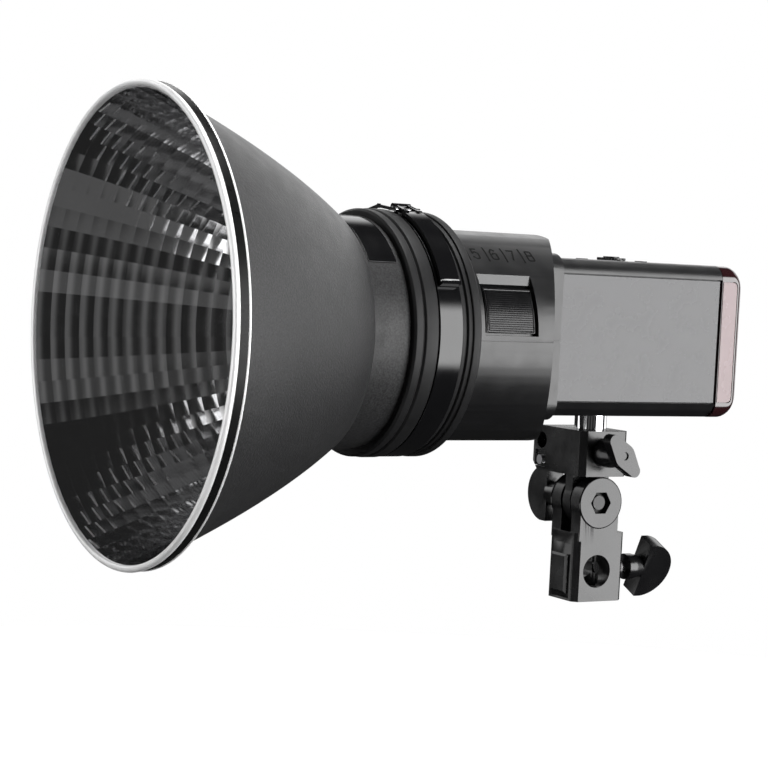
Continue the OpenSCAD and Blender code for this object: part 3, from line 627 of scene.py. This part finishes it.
def round_section(inset):
    """Half of the body's outline, from the right panel up, over a quarter round, to the left one."""
    turns = [pi / 2 * k / COVER_STEPS for k in range(1, COVER_STEPS + 1)]
    reach = COVER_R - inset
    arc = [(BODY_HALF_W - COVER_R + reach * cos(a), BODY_HALF_H - COVER_R + reach * sin(a))
           for a in turns]
    return [Vector(q) for q in mirrored([(BODY_HALF_W - inset, PANEL_HALF_H + COVER_GAP), *arc])]


def leaning_section(inset):
    """The same with walls that lean in before they turn."""
    w, h = BODY_HALF_W, BODY_HALF_H
    right = [(w - 0.35 - inset, PANEL_HALF_H + COVER_GAP), (w - 2.6 - inset, h - 3.6 - inset / 2, 2),
             (w - 7, h - inset, 4)]
    return rounded(mirrored(right), closed=False, steps=8)


def hole_cutter(x, y, radius, surface_z):
    """A round cutter that runs through a level wall at this height."""
    outline = [(x + radius * cos(a), y + radius * sin(a)) for a in circle(HOLE_SIDES)]
    return upright(surface_z - THROUGH / 2, surface_z + THROUGH / 2, outline)


def top_cutters():
    """Holes for the dial and the buttons, and a recess for the display's window."""
    cutters = []
    for name in ("control_dial", "button_mode", "button_group", "button_light", "button_power"):
        low, high = span(name)
        middle = (low + high) / 2
        cutters.append(hole_cutter(middle.x, middle.y, (high.x - low.x) / 2 + HOLE_GAP, TOP_HIGH.z))
    low, high = span("display_window")
    cutters.append(upright(high.z - WINDOW_RECESS, high.z + THROUGH / 2,
                           rectangle(low.x, high.x, low.y, high.y)))
    return cutters


def add_covers():
    """Top and bottom shells, which round over from the panels' edges."""
    bush_hole = hole_cutter(0, 0, BUSH_HOLE_R, BODY_MID_Z - BODY_HALF_H)
    for node, up, section, cutters in (("top_cover", 1, round_section, top_cutters()),
                                       ("bottom_cover", -1, leaning_section, [bush_hole])):
        outline = section(0) + section(COVER_T)[::-1]
        rings = [[Vector((q.x, y, BODY_MID_Z + up * q.y)) for q in outline]
                 for y in (TOP_LOW.y, TOP_HIGH.y)]
        shell = to_object(node + "_shell", loft(rings, caps=True), node, (node,))
        cut_holes(shell, cutters)


PANEL_SHORT = 1.3
INLAY_T = 0.9
INLAY_GAP = 0.35
# From the inlay's edges to the end cap's front and rear and to the panel's upper and lower edge
INLAY_FRONT, INLAY_REAR, INLAY_LOWER = 0.6, 3.7, 0.4
INLAY_R = 3
CAP_INSET = 0.05
CAP_CORNER = 7.5
CAP_EDGE = 3
CAP_STEPS = 12
CAP_CORNER_STEPS = 10
LATCH_GAP = 0.2


def inlay_outline(grow):
    """The inset plate of the end cap seen from the side, open towards the panel."""
    start, end = CAP_LOW.y + INLAY_FRONT - grow, CAP_HIGH.y - INLAY_REAR + grow
    half = PANEL_HALF_H - INLAY_LOWER + grow
    return rounded([(start, BODY_MID_Z - half), (end, BODY_MID_Z - half, INLAY_R),
                    (end, BODY_MID_Z + half, INLAY_R), (start, BODY_MID_Z + half)])


def add_side_plates():
    """The right panel, which stops short of the battery's end cap, and the cap's inset plates."""
    low, high = PANEL_LOW, PANEL_HIGH
    outline = rectangle(low.y, high.y - PANEL_SHORT, low.z, high.z)
    panel = to_object("panel_right", plate(low.x, high.x, outline), "side_panel_right",
                      ("side_panel_right",))
    bevelled(panel, 0.3)
    for side, name in SIDES:
        slab = plate(side * (BODY_HALF_W - INLAY_T), side * BODY_HALF_W, inlay_outline(0))
        inlay = to_object("battery_plate_" + name, slab, "battery_side_plates",
                          ("battery_side_plates",))
        bevelled(inlay, 0.12, 2)


def add_end_cap():
    """The battery's glossy end cap, with a big rounding as seen from the side."""
    stations = [(CAP_LOW.y, 0)]
    for k in range(CAP_STEPS + 1):
        turn = pi / 2 * k / CAP_STEPS
        stations.append((CAP_HIGH.y - CAP_CORNER * (1 - sin(turn)), CAP_CORNER * (1 - cos(turn))))
    rings = []
    for y, drop in stations:
        past = max(y - (CAP_HIGH.y - CAP_EDGE), 0)
        half_w = BODY_HALF_W - CAP_INSET - (CAP_EDGE - sqrt(CAP_EDGE ** 2 - past ** 2))
        half_h = BODY_HALF_H - drop
        ring = []
        for quarter, (u, v) in enumerate(((1, 1), (-1, 1), (-1, -1), (1, -1))):
            for k in range(CAP_CORNER_STEPS + 1):
                a = pi / 2 * (quarter + k / CAP_CORNER_STEPS)
                ring.append(Vector((u * (half_w - COVER_R) + COVER_R * cos(a), y,
                                    BODY_MID_Z + v * (half_h - COVER_R) + COVER_R * sin(a))))
        rings.append(ring)
    cap = to_object("end_cap", loft(rings, caps=True), "battery_end_cap", ("battery_end_cap",))
    cutters = [plate(side * (BODY_HALF_W - 1), side * (BODY_HALF_W + 1), inlay_outline(INLAY_GAP))
               for side, _ in SIDES]
    low, high = span("battery_latch")
    outline = rectangle(low.y - LATCH_GAP, high.y + LATCH_GAP, low.z - 1, high.z + 1.4)
    cutters.append(plate(low.x - LATCH_GAP, high.x + LATCH_GAP, outline))
    cut_holes(cap, cutters)


# ---- release buttons ----

# The lowest and highest angle of the ribs above level, in degrees
RIBS_BOTTOM, RIBS_TOP = 5.6, 27.8
RIB_COUNT = 19
RIB_BACK_R = 48.9
RIB_LOW_R = 49.05
RIB_HIGH_R = 49.55
# Shares of a rib's step at which it rises from its foot and drops to it again
RIB_SHAPE = ((RIB_LOW_R, 0.05), (RIB_HIGH_R, 0.35), (RIB_HIGH_R, 0.65), (RIB_LOW_R, 0.95))
RIM_R = 49.0
RIM_WIRE_R = 0.42
RIM_STEPS = 12
# Distances along the axis: the pad's ends inside the button's, the ribs' and the rim's inside the
# pad's, and the finger flat's outside them
PAD_IN, RIBS_IN, RIM_IN, FLAT_OUT = 3, 1.3, 0.6, 1.4
FLAT_OUTLINE = ((40.66, 25.7), (39.79, 30.15), (39.4, 30.15), (40.3, 25.7))


def add_button_pads():
    """Ribs and a rounded rim on each release button, and the glossier flat above its window, lighter in
    colour as a painted highlight.
    """
    for side, name in reversed(SIDES):
        node = "release_button_" + name
        low, high = span(node)
        front, rear = low.y + PAD_IN, high.y - PAD_IN

        def place(radius, y, degrees_up):
            q = on_axis(radius, y, radians(degrees_up))
            return Vector((side * q.x, q.y, q.z))

        step = (RIBS_TOP - RIBS_BOTTOM) / RIB_COUNT
        rings = []
        for y in (front + RIBS_IN, rear - RIBS_IN):
            ring = [place(RIB_BACK_R, y, RIBS_TOP), place(RIB_BACK_R, y, RIBS_BOTTOM)]
            for i in range(RIB_COUNT):
                foot = RIBS_BOTTOM + i * step
                ring += [place(radius, y, foot + share * step) for radius, share in RIB_SHAPE]
            rings.append(ring)
        to_object("button_ribs_" + name, loft(rings, caps=True), node, slot="knob_plastic",
                  smooth_angle=20)
        bottom, top = RIBS_BOTTOM - 0.7, RIBS_TOP + 0.4
        rise = [(top - bottom) * k / RIM_STEPS for k in range(RIM_STEPS + 1)]
        path = [place(RIM_R, front + RIM_IN, bottom + up) for up in rise]
        path += [place(RIM_R, rear - RIM_IN, top - up) for up in rise]
        to_object("button_rim_" + name, closed_tube(path, RIM_WIRE_R, 10), node, slot="knob_plastic")
        # The flat above the window: its lighter colour is a painted highlight
        rings = [[Vector((side * x, y, AXIS_Z + z)) for x, z in FLAT_OUTLINE]
                 for y in (front - FLAT_OUT, rear + FLAT_OUT)]
        to_object("flat_painted_highlight_" + name, loft(rings, caps=True), "adapter_upper_shell",
                  slot="flat_painted_highlight")


# ---- zoom scale ----

SCALE_TURN = radians(52)
SCALE_TICKS = (-98.3, -87.8, -77.9, -68)
TICK_LONG = 9.6
TICK_WIDE = 0.8
STROKE_WIDE = 0.85
# How far a stroke runs past its ends, as a share of its width
STROKE_PAST = 0.3
STROKE_SUNK = 0.4
STROKE_PROUD = 0.05
DIGIT_W = 3.2
DIGIT_H = 6.6
# Each numeral's y and its strokes, as corners (right, up, radius) of a box one wide and one high
DIGITS = {
    5: (-95.6, [[(0.95, 1), (0.15, 1), (0.1, 0.52), (0.55, 0.7, 0.3), (1.05, 0.5, 0.35), (1, 0, 0.35),
                 (0.45, -0.05, 0.3), (0, 0.15)]]),
    6: (-85.2, [[(0.9, 0.9), (0.45, 1.08, 0.35), (0, 0.75, 0.4), (0, 0, 0.4), (0.5, -0.03, 0.1),
                 (1, 0, 0.4), (1, 0.6, 0.4), (0.5, 0.6, 0.1), (0.06, 0.42)]]),
    7: (-75.1, [[(0, 1), (1, 1), (0.35, 0)]]),
    8: (-65.0, [[(0.5, 1), (0.95, 1, 0.3), (0.95, 0.53, 0.3), (0.05, 0.53, 0.3), (0.05, 1, 0.3), (0.5, 1)],
                [(0.5, 0.53), (1, 0.53, 0.3), (1, 0, 0.3), (0, 0, 0.3), (0, 0.53, 0.3), (0.5, 0.53)]]),
}


def add_scale():
    """Zoom numerals and ticks along the tube, reading towards the flash."""
    bm = bmesh.new()

    def stroke(first, second, width):
        along = (second - first).normalized()
        across = Vector((-along.y, along.x)) * width / 2
        first, second = first - along * width * STROKE_PAST, second + along * width * STROKE_PAST
        parts = max(1, round((second - first).length))
        rings = []
        for k in range(parts + 1):
            end = first.lerp(second, k / parts)
            rings.append([on_axis(SCALE_R + out, q.x, SCALE_TURN + q.y / SCALE_R) for q, out in
                          ((end + across, -STROKE_SUNK), (end - across, -STROKE_SUNK),
                           (end - across, STROKE_PROUD), (end + across, STROKE_PROUD))])
        loft(rings, caps=True, bm=bm)

    for y in SCALE_TICKS:
        stroke(Vector((y, -TICK_LONG / 2)), Vector((y, TICK_LONG / 2)), TICK_WIDE)
    for y, lines in DIGITS.values():
        for line in lines:
            points = rounded([(y + q[0] * DIGIT_W, (q[1] - 0.5) * DIGIT_H, *(r * DIGIT_W for r in q[2:]))
                              for q in line], closed=False)
            for first, second in zip(points, points[1:]):
                stroke(first, second, STROKE_WIDE)
    to_object("zoom_scale", bm, "adapter_upper_shell", slot="engraving")


# ---- bracket ----

DRUM_R = 12.5
DRUM_HALF_W = 12.5
DRUM_RIM_R = 0.5
DRUM_RIM_IN_X, DRUM_RIM_IN_R = 0.45, 0.15
PAD_HALF_W = 6.5
PAD_BOTTOM, PAD_TOP = 3.4, 23
# The pad goes from inside the yoke straight to its edge, then slopes in to its face
PAD_SUNK, PAD_EDGE, PAD_FACE = 0.4, 0.2, 1
PAD_SLOPE_W, PAD_SLOPE_H = 1.1, 1.2


def add_yoke_pad():
    """The raised pad on the front face of the yoke, with sloping sides."""
    front = span("lower_yoke")[0].y
    rings = []
    for y, less_w, less_h in ((front + PAD_SUNK, 0, 0), (front - PAD_EDGE, 0, 0),
                              (front - PAD_FACE, PAD_SLOPE_W, PAD_SLOPE_H)):
        outline = rectangle(less_w - PAD_HALF_W, PAD_HALF_W - less_w, PAD_BOTTOM + less_h, PAD_TOP - less_h)
        rings.append([Vector((q.x, y, q.y)) for q in outline])
    bevelled(to_object("yoke_pad", loft(rings, caps=True), "lower_yoke", slot="cast_black"), 0.15, 2)


def add_drum_edges():
    """Dark rounded rims on the faces of the tilt drum."""
    for side, name in SIDES:
        rings = []
        for a in circle(96):
            out = Vector((0, cos(a), sin(a)))
            face = Vector(((DRUM_HALF_W - DRUM_RIM_IN_X) * side, 0, PIVOT_Z))
            middle = face + out * (DRUM_R - DRUM_RIM_IN_R)
            rings.append([middle + DRUM_RIM_R * (cos(b) * out + sin(b) * Vector((1, 0, 0)))
                          for b in circle(8)])
        to_object("drum_rim_" + name, loft(rings, path_closed=True), "lower_yoke", slot="gloss_black")


# ---- floor ----

FLOOR_BELOW = 300
FLOOR_R = 1600
FLOOR_GLOW = 0.55


def add_floor():
    """A pale sheet under the stand-held head, below its reach when tilted down; reflections see the
    studio below it instead."""
    bm = bmesh.new()
    bmesh.ops.create_circle(bm, cap_ends=True, radius=FLOOR_R * MM, segments=96)
    mesh = bpy.data.meshes.new("floor")
    bm.to_mesh(mesh)
    bm.free()
    floor = bpy.data.objects.new("floor", mesh)
    floor.location.z = -FLOOR_BELOW * MM
    scene.collection.objects.link(floor)
    pale = add_material("pale_floor", (0.80, 0.80, 0.80), 0.6, mottle=0.01, uneven=0.02, specular=0.0)
    tree = pale.node_tree
    shader = tree.nodes["Principled BSDF"]
    shader.inputs["Emission Color"].default_value = (1, 1, 1, 1)
    shader.inputs["Emission Strength"].default_value = FLOOR_GLOW
    mix = tree.nodes.new("ShaderNodeMixShader")
    tree.links.new(tree.nodes.new("ShaderNodeLightPath").outputs["Is Camera Ray"], mix.inputs[0])
    tree.links.new(tree.nodes.new("ShaderNodeBsdfTransparent").outputs[0], mix.inputs[1])
    tree.links.new(shader.outputs[0], mix.inputs[2])
    tree.links.new(mix.outputs[0], tree.nodes["Material Output"].inputs["Surface"])
    mesh.materials.append(pale)


# ---- the whole ----

# CAD nodes that keep their shape and get rounded edges, of these widths
EDGE_WIDTHS = {
    "lower_yoke": 0.5, "spigot_block": 0.5, "umbrella_plate": 0.2, "side_panel_left": 0.3,
    "adapter_upper_shell": 0.3, "adapter_lower_shell": 0.3, "clamp_strap": 0.3, "clamp_lever": 0.3,
    "label_plate": 0.2, "stand_knob": 1.6, "tilt_knob": 1.6, "spigot_knob": 1.0, "spigot": 0.3,
    "control_dial": 0.3,
}

add_camera()
add_studio()
add_floor()
finish_cad_nodes()
add_reflector_shell()
add_reflector_hem()
add_reflector_lining()
add_collar()
add_covers()
add_side_plates()
add_end_cap()
add_button_pads()
add_scale()
add_drum_edges()
add_yoke_pad()
for node, width in EDGE_WIDTHS.items():
    skin(node, width)

scene.view_settings.view_transform = "Standard"
